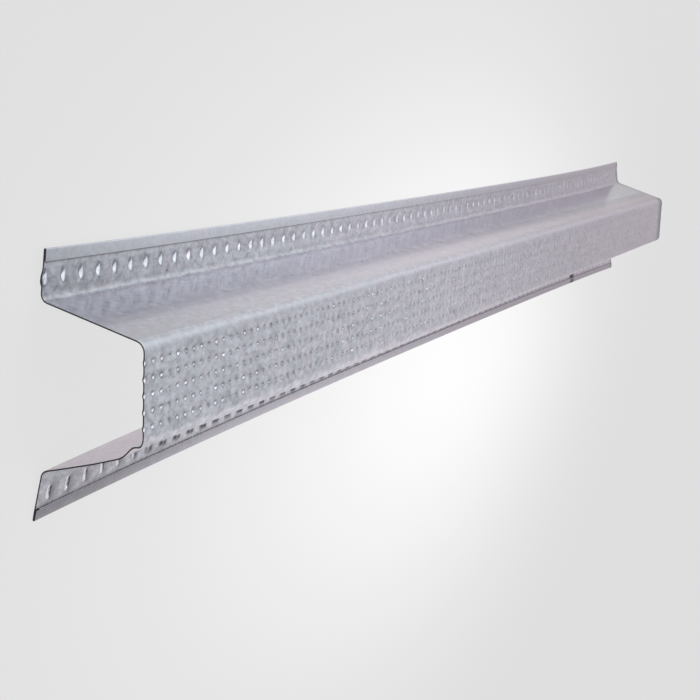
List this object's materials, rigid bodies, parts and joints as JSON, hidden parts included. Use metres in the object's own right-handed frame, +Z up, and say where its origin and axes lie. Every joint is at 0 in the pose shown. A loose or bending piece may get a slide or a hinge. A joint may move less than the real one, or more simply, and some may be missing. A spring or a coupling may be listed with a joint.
{
  "type": "hat channel",
  "caption": "Length of galvanised sheet steel rolled to a hat section, with a flat crown, sloping webs and hemmed flanges, for battening out walls, ceilings and roofs.",
  "frame": {"origin": "on the floor under the middle of the channel, in the plane of the flanges' backs", "axes": "+X along the length, +Y across the flanges, +Z up from the flanges to the crown"},
  "size_m": [0.762, 0.083, 0.0381],
  "materials": {
    "galvanised_sheet": "hot-dip galvanised, fine spangle, half matt"
  },
  "bodies": {
    "root": {"hat_channel": "galvanised_sheet"}
  },
  "joints": []
}
